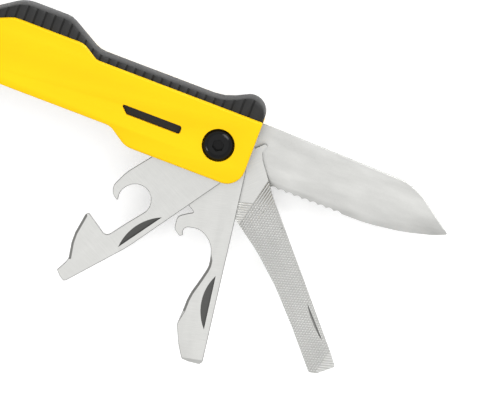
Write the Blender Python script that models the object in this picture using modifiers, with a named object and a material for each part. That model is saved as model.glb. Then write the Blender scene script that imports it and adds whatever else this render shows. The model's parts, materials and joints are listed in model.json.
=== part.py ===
"""Painter's folding multi tool: a two-shell handle, four tools on one pivot and a fixed scraper head.

All sizes are in millimetres; MM turns them into Blender's metres where a mesh is made.
The handle lies flat on its rear plate. +X points along the handle to the open knife blade,
+Y to the spine and +Z to the front plate. The origin is on the rear plate's outer face.
"""

import math

import bmesh
import bpy
from mathutils import Matrix, Vector

MM = 0.001

# Where the pivot stands, and how far the handle reaches to each side of it
PIVOT_X = 45.0
HANDLE_RIGHT = 10.0
HANDLE_LEFT = -98.0

# The stack, from the rear face to the front face
PLATE_THICKNESS = 1.8
SHELL_WALL = 1.6
LINER_THICKNESS = 0.8
TOOL_THICKNESS = 1.6
WASHER_THICKNESS = 0.3
STACK_GAP = 0.1
TOOL_COUNT = 4

# Side plate
PLATE_TOP = 10.7
PLATE_BOTTOM = -10.1
PLATE_HIGH_TOP = 13.9
STEP_BOTTOM = -6.0
PLATE_EDGE_ROUND = 0.9
SLOT_TOP = 1.4
SLOT_BOTTOM = -1.15
SLOT_RIGHT = -11.8
SLOT_LEFT = -31.0
SLOT_SLANT = 2.6

# Shell
SPINE_Y = 12.6
HUMP_PEAK = 16.2
GUARD_PEAK = 18.8
SHELL_HEEL_RISE = 1.5
SHELL_INSET = 0.3
SHELL_EDGE_ROUND = 1.1
WELL_TOP = 9.9
PARTING_GAP = 0.1
RIB_PITCH = 2.75
RIB_WIDTH = 0.6
RIB_DEPTH = 0.6
RIB_START = 5.3
HEEL_WALL = 2.4
HEEL_CORNER = 3.0
SEAT_GAP = 0.3
POCKET_GAP = 0.4
HEEL_SIDE = 2.5

# Liner
LINER_INSET = 0.7
LINER_TOP_GAP = 0.3

# Pivot
HEAD_DIAMETER = 9.3
HEAD_HEIGHT = 2.7
NUT_FLANGE_HEIGHT = 1.5
BARREL_DIAMETER = 7.0
SCREW_DIAMETER = 5.0
HEX_SIZE = 3.0
HEX_DEPTH = 1.6
RADIAL_GAP = 0.15
HEAD_GAP = 0.2
WASHER_DIAMETER = 13.0
TANG_RADIUS = 8.6

# Stop pin and spine spacer
STOP_PIN_X = 4.4
STOP_PIN_Y = 10.5
STOP_PIN_DIAMETER = 3.0
PIN_BITE = 0.8
WELL_SPACER_X = HANDLE_LEFT + 30.0
WELL_SPACER_Y = 7.4
WELL_SPACER_DIAMETER = 4.0
WELL_SPACER_BORE = 2.2

# Scraper head
SCRAPER_THICKNESS = 2.0
TANG_WIDTH = 15.0
TANG_LENGTH = 19.0
TANG_CENTRE_Y = 0.5
NECK_LENGTH = 10.0
SHOULDER_LENGTH = 16.0
SCRAPER_LENGTH = 64.0
SCRAPER_TOP = 30.0
SCRAPER_BOTTOM = -26.0
ROLLER_RADIUS = 14.0
ROLLER_FROM_EDGE = 19.0
SCRAPER_BEVEL = 4.0
SCRAPER_EDGE = 0.5
TANG_SCREW_PITCH = 10.0
TANG_SCREW_DIAMETER = 3.0
TANG_BARREL_DIAMETER = 4.4
TANG_HEAD_DIAMETER = 7.0
TANG_HEAD_HEIGHT = 1.9
TANG_SCREW_INSET = 14.5

# Tools
KNIFE_LENGTH = 72.3
KNIFE_EDGE = -7.4
KNIFE_TEETH = 9
KNIFE_TOOTH_PITCH = 2.5
KNIFE_TOOTH_DEPTH = 0.7
KNIFE_TOOTH_START = 18.5
KNIFE_GRIND_WIDTH = 2.0
KNIFE_GRIND_DEPTH = 0.6
FILE_LENGTH = 74.6
FILE_LUG_REACH = 3.5
CAP_LIFTER_LENGTH = 65.8
SCREWDRIVER_GRIND_WIDTH = 1.2
SCREWDRIVER_GRIND_DEPTH = 0.45
CAN_OPENER_LENGTH = 61.3
NICK_DEPTH = 0.5

# How far each tool is turned out from the open knife blade's direction, in degrees
KNIFE_ANGLE = 0.0
FILE_ANGLE = -43.4
CAP_LIFTER_ANGLE = -75.8
CAN_OPENER_ANGLE = -117.2

ROUND_SIDES = 40
SMALL_SIDES = 28
NICK_STEPS = 12
ARC_STEP = math.radians(13)

# Heights that follow from the stack
SHELL_BACK = PLATE_THICKNESS + STACK_GAP
LINER_BACK = SHELL_BACK + SHELL_WALL + STACK_GAP
STACK_BACK = LINER_BACK + LINER_THICKNESS + STACK_GAP
TOOL_PITCH = TOOL_THICKNESS + WASHER_THICKNESS + 2 * STACK_GAP
STACK_FRONT = STACK_BACK + TOOL_COUNT * TOOL_PITCH + WASHER_THICKNESS + STACK_GAP
HEIGHT = STACK_FRONT + STACK_BACK - STACK_GAP
MIDDLE = HEIGHT / 2

# The heel, where the scraper head's tang sits between the shells
TANG_START = HANDLE_LEFT + TANG_LENGTH
TANG_LOW = TANG_CENTRE_Y - TANG_WIDTH / 2
TANG_HIGH = TANG_CENTRE_Y + TANG_WIDTH / 2
HEEL_LOW = TANG_LOW - HEEL_SIDE
HEEL_HIGH = TANG_HIGH + HEEL_SIDE
NECK_X = HANDLE_LEFT - NECK_LENGTH
SHOULDER_X = NECK_X - SHOULDER_LENGTH
EDGE_X = HANDLE_LEFT - SCRAPER_LENGTH

# The room above the well, to the right of the stop pin, that the file's lug swings into
LUG_TOP = TANG_RADIUS + FILE_LUG_REACH
LUG_ROOM_TOP = LUG_TOP + SEAT_GAP


# Materials

def material(name, colour, roughness, metallic=0.0):
    made = bpy.data.materials.new(name)
    made.use_nodes = True
    shader = made.node_tree.nodes["Principled BSDF"]
    shader.inputs["Base Color"].default_value = (*colour, 1.0)
    shader.inputs["Roughness"].default_value = roughness
    shader.inputs["Metallic"].default_value = metallic
    return made


# Outlines

def moved_inwards(corners, distance):
    """The corner list of a clockwise outline whose every edge is moved inwards by the distance."""
    moved = []
    count = len(corners)
    for i, (x, y, radius) in enumerate(corners):
        here = Vector((x, y))
        before = (here - Vector(corners[i - 1][:2])).normalized()
        after = (Vector(corners[(i + 1) % count][:2]) - here).normalized()
        inward = Vector((before.y, -before.x)) + Vector((after.y, -after.x))
        turn = before.x * after.y - before.y * after.x
        offset = inward * distance / (1 + before.dot(after))
        shrink = distance if turn < 0 else -distance
        moved.append((x + offset.x, y + offset.y, max(radius - shrink, 0.0)))
    return moved


def rounded(corners):
    """The points of a closed outline, with each corner (x, y, radius) turned into an arc.

    Two arcs that share a short side are both made smaller until they fit on it.
    """
    spots = [Vector(corner[:2]) for corner in corners]
    count = len(spots)
    turns = []
    for i, here in enumerate(spots):
        before = (spots[i - 1] - here).normalized()
        after = (spots[(i + 1) % count] - here).normalized()
        turns.append((before, after, before.angle(after)))
    reaches = [
        0.0 if opening > math.pi - 0.01 else corner[2] / math.tan(opening / 2)
        for corner, (before, after, opening) in zip(corners, turns)
    ]
    for i in range(count):
        side = (spots[i] - spots[i - 1]).length
        share = min(1.0, 0.98 * side / max(reaches[i] + reaches[i - 1], 1e-9))
        reaches[i] *= share
        reaches[i - 1] *= share
    points = []
    for here, reach, (before, after, opening) in zip(spots, reaches, turns):
        if reach <= 0:
            points.append((here.x, here.y))
            continue
        radius = reach * math.tan(opening / 2)
        centre = here + (before + after).normalized() * radius / math.sin(opening / 2)
        start = here + before * reach - centre
        sweep = math.pi - opening
        if before.x * after.y - before.y * after.x > 0:
            sweep = -sweep
        steps = max(1, round(abs(sweep) / ARC_STEP))
        for step in range(steps + 1):
            point = Matrix.Rotation(sweep * step / steps, 2) @ start + centre
            points.append((point.x, point.y))
    return points


def spline_outline(points):
    """A flat, filled 2D curve through the points, still in millimetres: the fill is exact at that scale."""
    curve = bpy.data.curves.new("outline", "CURVE")
    curve.dimensions = "2D"
    curve.fill_mode = "BOTH"
    spline = curve.splines.new("POLY")
    spline.points.add(len(points) - 1)
    for spot, (x, y) in zip(spline.points, points):
        spot.co = (x, y, 0.0, 1.0)
    spline.use_cyclic_u = True
    return curve


def slab(name, points, bottom, top):
    """A mesh object: the outline extruded from one height to another."""
    curve = spline_outline(points)
    curve.extrude = (top - bottom) / 2
    guide = bpy.data.objects.new(name + "_outline", curve)
    bpy.context.scene.collection.objects.link(guide)
    bpy.context.view_layer.update()
    evaluated = guide.evaluated_get(bpy.context.evaluated_depsgraph_get())
    mesh = bpy.data.meshes.new_from_object(evaluated)
    bpy.data.objects.remove(guide)
    shape = bmesh.new()
    shape.from_mesh(mesh)
    bmesh.ops.remove_doubles(shape, verts=shape.verts, dist=0.001)
    bmesh.ops.scale(shape, verts=shape.verts, vec=(MM, MM, MM))
    inner = [edge for edge in shape.edges if len(edge.link_faces) == 2]
    flat_parts = [edge for edge in inner if edge.calc_face_angle() < 1e-4]
    bmesh.ops.dissolve_edges(shape, edges=flat_parts, use_verts=False)
    bmesh.ops.translate(shape, verts=shape.verts, vec=(0, 0, (top + bottom) / 2 * MM))
    bmesh.ops.recalc_face_normals(shape, faces=shape.faces)
    shape.to_mesh(mesh)
    shape.free()
    mesh.name = name
    return bpy.data.objects.new(name, mesh)


def drum(name, diameter, bottom, top, x=0.0, y=0.0, sides=ROUND_SIDES, top_diameter=None):
    """A mesh object: a straight or tapered cylinder between two heights."""
    shape = bmesh.new()
    bmesh.ops.create_cone(
        shape,
        cap_ends=True,
        segments=sides,
        radius1=diameter / 2 * MM,
        radius2=(diameter if top_diameter is None else top_diameter) / 2 * MM,
        depth=(top - bottom) * MM,
    )
    bmesh.ops.translate(shape, verts=shape.verts, vec=(x * MM, y * MM, (top + bottom) / 2 * MM))
    mesh = bpy.data.meshes.new(name)
    shape.to_mesh(mesh)
    shape.free()
    return bpy.data.objects.new(name, mesh)


# Placing and joining

def keep(piece, surface, parent=None):
    """Puts a finished piece in the model's collection, in the frame of its parent."""
    piece.data.materials.clear()
    piece.data.materials.append(surface)
    parts.objects.link(piece)
    piece.parent = parent if parent else body
    return piece


def helper(piece, parent=None):
    """Puts a cutter or a joined shape in the helpers' collection, out of the render."""
    piece.hide_render = True
    piece.display_type = "WIRE"
    helpers.objects.link(piece)
    piece.parent = parent if parent else body
    return piece


def combine(piece, other, operation="DIFFERENCE", solver="EXACT"):
    modifier = piece.modifiers.new(operation.title(), "BOOLEAN")
    modifier.operation = operation
    modifier.solver = solver
    modifier.object = other


def round_front(piece, width, segments=2):
    """Rounds the long edges where a flat front meets the sides."""
    modifier = piece.modifiers.new("Edge round", "BEVEL")
    modifier.width = width * MM
    modifier.segments = segments
    modifier.limit_method = "WEIGHT"
    top = max(vertex.co.z for vertex in piece.data.vertices)
    weights = piece.data.attributes.new("bevel_weight_edge", "FLOAT", "EDGE")
    for edge in piece.data.edges:
        ends = [piece.data.vertices[index].co.z for index in edge.vertices]
        if min(ends) > top - 1e-6:
            weights.data[edge.index].value = 1.0


def mirrored(piece, name):
    """A copy of a front piece's mesh, turned over about the middle plane for the rear."""
    mesh = piece.data.copy()
    mesh.name = name
    mesh.transform(Matrix.Diagonal((1, 1, -1, 1)))
    mesh.transform(Matrix.Translation((0, 0, HEIGHT * MM)))
    mesh.flip_normals()
    twin = bpy.data.objects.new(name, mesh)
    for modifier in piece.modifiers:
        copy = twin.modifiers.new(modifier.name, modifier.type)
        for setting in modifier.bl_rna.properties:
            if not setting.is_readonly and setting.identifier not in ("name", "object"):
                setattr(copy, setting.identifier, getattr(modifier, setting.identifier))
        if modifier.type == "BOOLEAN":
            copy.object = turned_over[modifier.object.name]
    return twin


def twin_helper(piece):
    """Makes the rear copy of a front cutter, and remembers which one it is."""
    copy = mirrored(piece, piece.name + "_rear")
    turned_over[piece.name] = helper(copy)


# The handle's outlines, clockwise from the right end's lower corner

def lower_corners():
    return [
        (HANDLE_RIGHT, PLATE_BOTTOM, 5.5),
        (-25.5, PLATE_BOTTOM, 6.0),
        (-31.6, STEP_BOTTOM, 5.0),
        (TANG_START + 9.0, STEP_BOTTOM, 8.0),
        (TANG_START, HEEL_LOW, 8.0),
        (HANDLE_LEFT, HEEL_LOW, 5.0),
    ]


def plate_corners():
    return lower_corners() + [
        (HANDLE_LEFT, HEEL_HIGH, 5.0),
        (TANG_START + 2.0, HEEL_HIGH, 6.0),
        (TANG_START + 10.0, PLATE_HIGH_TOP, 6.0),
        (-47.2, PLATE_HIGH_TOP, 5.0),
        (-42.2, PLATE_TOP, 3.0),
        (HANDLE_RIGHT, PLATE_TOP, 0.6),
    ]


def shell_corners():
    lower = moved_inwards(plate_corners(), SHELL_INSET)[:6]
    heel_top = HEEL_HIGH + SHELL_HEEL_RISE
    return lower + [
        (HANDLE_LEFT + SHELL_INSET, heel_top, 5.0),
        (TANG_START + 1.0, heel_top, 12.0),
        (TANG_START + 11.0, GUARD_PEAK, 9.0),
        (-53.4, GUARD_PEAK, 6.0),
        (-42.4, SPINE_Y, 7.0),
        (-3.3, SPINE_Y, 14.0),
        (3.9, HUMP_PEAK, 4.0),
        (HANDLE_RIGHT - 0.1, HUMP_PEAK, 5.1),
    ]


def liner_corners():
    """The liner fills the shell's pocket, less its clearance."""
    top = WELL_TOP - LINER_TOP_GAP
    lower = moved_inwards(plate_corners(), LINER_INSET)[:6]
    heel_left = HANDLE_LEFT + HEEL_WALL + SEAT_GAP
    heel_low = TANG_LOW - POCKET_GAP + SEAT_GAP
    heel_high = TANG_HIGH + POCKET_GAP - SEAT_GAP
    lower[4] = (lower[4][0], heel_low, lower[4][2])
    lower[5] = (heel_left, heel_low, HEEL_CORNER)
    return lower + [
        (heel_left, heel_high, HEEL_CORNER),
        (TANG_START + 5.0, heel_high, 5.0),
        (TANG_START + 9.0, top, 5.0),
        (HANDLE_RIGHT - LINER_INSET, top, 1.0),
    ]


def well_corners():
    """The room for the tools: open below and at the right end, walled at the spine and the heel."""
    heel_left = HANDLE_LEFT + HEEL_WALL
    heel_low = TANG_LOW - POCKET_GAP
    heel_high = TANG_HIGH + POCKET_GAP
    below = min(PLATE_BOTTOM, HEEL_LOW) - 5
    return [
        (HANDLE_RIGHT + 5, below, 0),
        (TANG_START + 3.0, below, 0),
        (TANG_START + 3.0, heel_low, 0),
        (heel_left, heel_low, HEEL_CORNER),
        (heel_left, heel_high, HEEL_CORNER),
        (TANG_START + 4.8, heel_high, 5.0),
        (TANG_START + 8.8, WELL_TOP, 5.0),
        (STOP_PIN_X, WELL_TOP, 0),
        (STOP_PIN_X, LUG_ROOM_TOP, 0.5),
        (HANDLE_RIGHT + 5, LUG_ROOM_TOP, 0),
    ]


# Handle pieces: each front piece is built, then turned over for the rear

def make_handle_cutters():
    """The cutters that the front pieces share: recesses, bores, slot, well and rib grooves."""
    plate_back = HEIGHT - PLATE_THICKNESS
    shell_front = HEIGHT - SHELL_BACK
    cut = {}
    cut["recess"] = drum("pivot_recess", HEAD_DIAMETER + 2 * HEAD_GAP, plate_back - 1, HEIGHT + 1)
    cut["bore"] = drum("pivot_bore", BARREL_DIAMETER + 2 * RADIAL_GAP, MIDDLE - 1, HEIGHT)
    slot = [
        (SLOT_RIGHT, SLOT_BOTTOM, 0.8),
        (SLOT_LEFT + SLOT_SLANT, SLOT_BOTTOM, 0.5),
        (SLOT_LEFT, SLOT_TOP, 0.5),
        (SLOT_RIGHT, SLOT_TOP, 0.8),
    ]
    cut["slot"] = slab("plate_slot", rounded(slot), plate_back - 1, HEIGHT + 1)
    liner_front = HEIGHT - LINER_BACK
    cut["well"] = slab("well", rounded(well_corners()), MIDDLE - 1, liner_front + STACK_GAP)
    slot_right = HANDLE_LEFT + HEEL_WALL + HEEL_CORNER + 1
    tang = [
        (slot_right, TANG_LOW - SEAT_GAP), (HANDLE_LEFT - 2, TANG_LOW - SEAT_GAP),
        (HANDLE_LEFT - 2, TANG_HIGH + SEAT_GAP), (slot_right, TANG_HIGH + SEAT_GAP),
    ]
    tang_top = MIDDLE + SCRAPER_THICKNESS / 2 + SEAT_GAP
    cut["tang_slot"] = slab("tang_slot", tang, MIDDLE - 1, tang_top)
    cut["pin_hole"] = drum(
        "stop_pin_hole", STOP_PIN_DIAMETER + 2 * RADIAL_GAP, MIDDLE - 1,
        liner_front + STACK_GAP + PIN_BITE, STOP_PIN_X, STOP_PIN_Y, SMALL_SIDES,
    )
    for number, x in enumerate(tang_screw_places(), 1):
        cut[f"tang_recess_{number}"] = drum(
            f"tang_recess_{number}", TANG_HEAD_DIAMETER + 2 * HEAD_GAP, plate_back - 1, HEIGHT + 1,
            x, TANG_CENTRE_Y, SMALL_SIDES,
        )
        cut[f"tang_bore_{number}"] = drum(
            f"tang_bore_{number}", TANG_BARREL_DIAMETER + 2 * RADIAL_GAP, MIDDLE - 1, HEIGHT,
            x, TANG_CENTRE_Y, SMALL_SIDES,
        )
    groove = slab(
        "rib_grooves",
        [(-RIB_WIDTH / 2, 7.0), (-RIB_WIDTH / 2, 22.0), (RIB_WIDTH / 2, 22.0), (RIB_WIDTH / 2, 7.0)],
        shell_front - RIB_DEPTH, shell_front + 2,
    )
    groove.data.transform(Matrix.Translation((RIB_START * MM, 0, 0)))
    row = groove.modifiers.new("Row", "ARRAY")
    row.use_relative_offset = False
    row.use_constant_offset = True
    row.constant_offset_displace = (-RIB_PITCH * MM, 0, 0)
    row.count = int((RIB_START - HANDLE_LEFT - 4) / RIB_PITCH) + 1
    cut["grooves"] = groove
    for piece in cut.values():
        helper(piece)
        twin_helper(piece)
    return cut


def tang_screw_places():
    first = HANDLE_LEFT + TANG_SCREW_INSET
    return [first, first - TANG_SCREW_PITCH]


def make_plates(cut):
    front = slab("front_plate", rounded(plate_corners()), HEIGHT - PLATE_THICKNESS, HEIGHT)
    round_front(front, PLATE_EDGE_ROUND, 2)
    for name in ("recess", "slot", "tang_recess_1", "tang_recess_2"):
        combine(front, cut[name])
    rear = mirrored(front, "rear_plate")
    keep(front, yellow)
    keep(rear, yellow)


def make_shells(cut):
    front = slab("front_shell", rounded(shell_corners()), MIDDLE + PARTING_GAP / 2, HEIGHT - SHELL_BACK)
    round_front(front, SHELL_EDGE_ROUND, 2)
    for name in ("well", "tang_slot", "pin_hole", "bore", "tang_bore_1", "tang_bore_2"):
        combine(front, cut[name])
    combine(front, cut["grooves"], solver="MANIFOLD")
    rear = mirrored(front, "rear_shell")
    keep(front, black)
    keep(rear, black)


def make_liners(cut):
    top = HEIGHT - LINER_BACK
    front = slab("front_liner", rounded(liner_corners()), top - LINER_THICKNESS, top)
    for name in ("bore", "pin_hole", "tang_bore_1", "tang_bore_2"):
        combine(front, cut[name])
    rear = mirrored(front, "rear_liner")
    keep(front, steel)
    keep(rear, steel)


def make_screw(name, x, y, head, height, shank, tip, hex_size):
    """A button-head screw with a hex socket; it enters from the front."""
    seat = HEIGHT - SHELL_BACK + STACK_GAP
    screw = drum(name, shank, tip, seat + 0.2, x, y, ROUND_SIDES)
    cap = drum(name + "_head", head, seat, seat + height * 0.35, x, y, ROUND_SIDES)
    dome = drum(
        name + "_dome", head, seat + height * 0.35 - 0.05, seat + height, x, y, ROUND_SIDES, head * 0.62
    )
    socket = drum(
        name + "_socket", hex_size / math.cos(math.pi / 6), seat + height - HEX_DEPTH, seat + height + 1,
        x, y, 6,
    )
    combine(screw, helper(cap), "UNION")
    combine(screw, helper(dome), "UNION")
    combine(screw, helper(socket))
    keep(screw, screw_black)


def make_nut(name, x, y, head, height, barrel, bore, end):
    """A flanged barrel nut; it enters from the rear and takes the screw's shank."""
    seat = SHELL_BACK - STACK_GAP
    nut = drum(name, head, seat - height, seat, x, y, ROUND_SIDES)
    tube = drum(name + "_barrel", barrel, seat - 0.3, end, x, y, ROUND_SIDES)
    hole = drum(name + "_bore", bore, seat + 0.3, end + 1, x, y, ROUND_SIDES)
    socket = drum(
        name + "_socket", HEX_SIZE / math.cos(math.pi / 6) * head / HEAD_DIAMETER, seat - height - 1,
        seat - height + 0.9, x, y, 6,
    )
    combine(nut, helper(tube), "UNION")
    combine(nut, helper(hole))
    combine(nut, helper(socket))
    keep(nut, screw_black)


def make_fasteners():
    seat = HEIGHT - SHELL_BACK
    make_screw("pivot_screw", 0, 0, HEAD_DIAMETER, HEAD_HEIGHT, SCREW_DIAMETER, MIDDLE - 4, HEX_SIZE)
    make_nut(
        "pivot_nut", 0, 0, HEAD_DIAMETER, NUT_FLANGE_HEIGHT, BARREL_DIAMETER,
        SCREW_DIAMETER + 2 * RADIAL_GAP, seat - 0.3,
    )
    for number, x in enumerate(tang_screw_places(), 1):
        make_screw(
            f"tang_screw_{number}", x, TANG_CENTRE_Y, TANG_HEAD_DIAMETER, TANG_HEAD_HEIGHT,
            TANG_SCREW_DIAMETER, MIDDLE - 4, HEX_SIZE * 0.7,
        )
        make_nut(
            f"tang_nut_{number}", x, TANG_CENTRE_Y, TANG_HEAD_DIAMETER, NUT_FLANGE_HEIGHT,
            TANG_BARREL_DIAMETER, TANG_SCREW_DIAMETER + 2 * RADIAL_GAP, seat - 0.3,
        )


def make_washers():
    for number in range(TOOL_COUNT + 1):
        bottom = STACK_BACK + number * TOOL_PITCH
        washer = drum(f"washer_{number + 1}", WASHER_DIAMETER, bottom, bottom + WASHER_THICKNESS)
        hole = drum(
            f"washer_hole_{number + 1}", BARREL_DIAMETER + 2 * RADIAL_GAP, bottom - 1,
            bottom + WASHER_THICKNESS + 1,
        )
        combine(washer, helper(hole))
        keep(washer, bronze)


def make_pins():
    reach = LINER_BACK - STACK_GAP - PIN_BITE + RADIAL_GAP
    stop = drum("stop_pin", STOP_PIN_DIAMETER, reach, HEIGHT - reach, STOP_PIN_X, STOP_PIN_Y, SMALL_SIDES)
    keep(stop, steel)
    bottom = STACK_BACK
    top = HEIGHT - STACK_BACK
    spacer = drum(
        "well_spacer", WELL_SPACER_DIAMETER, bottom, top, WELL_SPACER_X, WELL_SPACER_Y, SMALL_SIDES
    )
    hole = drum(
        "well_spacer_bore", WELL_SPACER_BORE, bottom - 1, top + 1, WELL_SPACER_X, WELL_SPACER_Y, SMALL_SIDES
    )
    combine(spacer, helper(hole))
    keep(spacer, steel)


# Tools: each outline is in the tool's own frame, with +X from the pivot to its tip

def tool_back(layer):
    return STACK_BACK + WASHER_THICKNESS + STACK_GAP + layer * TOOL_PITCH


def tool_front(layer):
    return tool_back(layer) + TOOL_THICKNESS


def tang_corners():
    """The round back of a tool, around the pivot, clockwise from below to above."""
    r = TANG_RADIUS
    return [(0.0, -r, 0), (-r, -r, r * 0.98), (-r, r, r * 0.98), (0.0, r, 0), (6.0, r, 0)]


def make_tool(name, corners, layer, angle, cutters=(), solver="EXACT"):
    """One folding tool; layer 0 is next to the rear liner."""
    bottom = tool_back(layer)
    top = tool_front(layer)
    tool = slab(name, rounded(corners), bottom, top)
    empty = bpy.data.objects.new(name + "_hinge", None)
    empty.parent = body
    empty.rotation_euler = (0, 0, math.radians(angle))
    parts.objects.link(empty)
    bore = drum(name + "_bore", BARREL_DIAMETER + 2 * RADIAL_GAP, bottom - 1, top + 1)
    for cutter in (bore, *cutters):
        combine(tool, helper(cutter, empty), solver=solver)
    keep(tool, steel, empty)


def nail_nick(name, start, end, bulge, layer):
    """A lens-shaped nick: straight from start to end, with an arc that stands out below by the bulge."""
    chord = Vector(end) - Vector(start)
    middle = (Vector(start) + Vector(end)) / 2
    along = chord.normalized()
    below = Vector((along.y, -along.x))
    radius = (chord.length_squared / 4 + bulge ** 2) / (2 * bulge)
    half_turn = math.asin(chord.length / 2 / radius)
    points = []
    for step in range(NICK_STEPS + 1):
        turn = half_turn * (2 * step / NICK_STEPS - 1)
        spot = middle + along * radius * math.sin(turn) + below * (bulge - radius * (1 - math.cos(turn)))
        points.append((spot.x, spot.y))
    front = tool_front(layer)
    return slab(name, points, front - NICK_DEPTH, front + 1)


def wedge(name, start, end, width, drop, top):
    """A cutter that slopes a face down along an edge from start to end; width is across it."""
    along = (Vector(end) - Vector(start)).normalized()
    across = Vector((-along.y, along.x))
    length = (Vector(end) - Vector(start)).length
    section = [(-1.0, -drop - drop / width), (-1.0, 2.0), (width, 2.0), (width, 0.0)]
    block = slab(name, section, 0.0, length)
    frame = Matrix((
        (across.x, 0, along.x, start[0] * MM),
        (across.y, 0, along.y, start[1] * MM),
        (0, 1, 0, top * MM),
        (0, 0, 0, 1),
    ))
    block.data.transform(frame)
    if frame.determinant() < 0:
        block.data.flip_normals()
    return block


def make_knife():
    end = KNIFE_LENGTH
    teeth = []
    for number in range(KNIFE_TEETH):
        right = KNIFE_TOOTH_START + (KNIFE_TEETH - number) * KNIFE_TOOTH_PITCH
        gullet = right - KNIFE_TOOTH_PITCH / 2
        teeth += [(right, KNIFE_EDGE, 0), (gullet, KNIFE_EDGE + KNIFE_TOOTH_DEPTH, 1.2)]
    corners = [
        (end - 2.1, -3.2, 12.0), (end - 12.3, -5.9, 30.0), (49.0, KNIFE_EDGE, 30.0), *teeth,
        (KNIFE_TOOTH_START, KNIFE_EDGE, 0), (17.6, -6.4, 0.6), (9.0, -7.8, 3.0),
        *tang_corners(), (9.0, TANG_RADIUS, 0), (10.0, 9.45, 0), (30.0, 9.05, 0),
        (end - 16.3, 8.4, 8.0), (end - 11.0, 6.2, 4.0), (end, -1.9, 0.3),
    ]
    grind = (KNIFE_GRIND_WIDTH, KNIFE_GRIND_DEPTH, tool_front(0))
    bevel = wedge("knife_bevel", (11.0, KNIFE_EDGE), (end + 8.0, KNIFE_EDGE), *grind)
    tip = wedge("knife_tip_bevel", (48.0, KNIFE_EDGE - 0.1), (end + 2.2, -2.2), *grind)
    make_tool("knife_blade", corners, 0, KNIFE_ANGLE, (bevel, tip), "MANIFOLD")


def make_file():
    end = FILE_LENGTH
    corners = [
        (end - 0.6, -4.3, 0.8), (end - 2.0, -6.2, 0.6), (58.0, -4.75, 20), (46.0, -4.0, 30),
        (34.0, -4.3, 30), (22.0, -5.9, 10), (12.0, -7.6, 5), *tang_corners()[:4],
        (6.3, TANG_RADIUS, 0), (6.4, LUG_TOP - 0.3, 0.5), (7.3, LUG_TOP, 0.3), (8.3, 9.9, 0.8),
        (10.5, 9.0, 1.5), (16.7, 7.9, 3), (22.0, 6.95, 20), (45.0, 4.75, 0),
        (end - 4.2, 2.1, 3), (end, 1.5, 0.5),
    ]
    nick = nail_nick("file_nick", (end - 20.4, 2.4), (end - 8.8, 1.55), 0.8, 1)
    make_tool("file", corners, 1, FILE_ANGLE, (nick,))


def make_cap_lifter():
    end = CAP_LIFTER_LENGTH
    corners = [
        (end, 0.75, 0), (end - 0.4, -1.95, 0), (end - 1.0, -3.85, 0.4), (end - 4.8, -5.2, 8),
        (end - 11.0, -6.4, 3), (50.5, -5.1, 8), (46.0, -3.9, 10), (40.6, -0.9, 8), (36.6, 1.1, 6),
        (30.0, 1.3, 7), (26.0, -2.6, 5), (25.7, -8.3, 1.6), (28.4, -7.5, 0.3), (28.7, -8.6, 0.4),
        (26.8, -10.3, 1.6), (22.9, -9.8, 2), (21.9, -7.0, 0.6), (21.3, -5.0, 0.3),
        (20.0, -6.3, 0.3), (18.8, -7.4, 2), (8.0, -8.4, 3), *tang_corners(), (8.3, 8.65, 0),
        (end - 0.7, 2.35, 0.4), (end, 1.65, 0.2),
    ]
    nick = nail_nick("cap_lifter_nick", (39.2, 3.4), (55.4, 1.7), 2.5, 2)
    edge = wedge(
        "screwdriver_grind", (end - 0.4, -8.0), (end + 0.1, 6.0),
        SCREWDRIVER_GRIND_WIDTH, SCREWDRIVER_GRIND_DEPTH, tool_front(2),
    )
    make_tool("cap_lifter", corners, 2, CAP_LIFTER_ANGLE, (nick, edge))


def make_can_opener():
    end = CAN_OPENER_LENGTH
    corners = [
        (end - 0.1, -2.15, 0), (end - 0.8, -4.2, 0.2), (end - 4.3, -4.2, 2), (55.6, -4.5, 0.5),
        (50.6, -8.3, 9), (43.0, -10.8, 1.5), (42.2, -10.3, 0.3), (43.2, -1.9, 1.6),
        (36.0, -0.7, 20), (28.6, 0.7, 3.5), (24.7, -1.6, 4.2), (24.9, -7.9, 4.8),
        (30.8, -9.2, 4.0), (33.5, -7.4, 0.25), (33.4, -9.5, 3), (31.6, -11.6, 2.8),
        (26.0, -11.9, 9), (17.4, -10.3, 8), (8.0, -8.9, 6), *tang_corners(), (7.7, 8.9, 0),
        (40.6, 4.75, 25), (end - 0.6, -0.1, 0.3), (end, -0.6, 0.3),
    ]
    nick = nail_nick("can_opener_nick", (27.1, 4.95), (42.6, 2.85), 2.2, 3)
    make_tool("can_opener", corners, 3, CAN_OPENER_ANGLE, (nick,))


# Scraper head and what carries it

def roller_notch():
    """Points round the notch that wipes a roller, from its right end to its left."""
    centre = EDGE_X + ROLLER_FROM_EDGE
    low = SCRAPER_BOTTOM - 1.0
    turns = [math.radians(turn) for turn in range(8, 175, 10)]
    return [
        (centre + ROLLER_RADIUS * math.cos(turn), low + ROLLER_RADIUS * math.sin(turn), 0)
        for turn in turns
    ]


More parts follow.
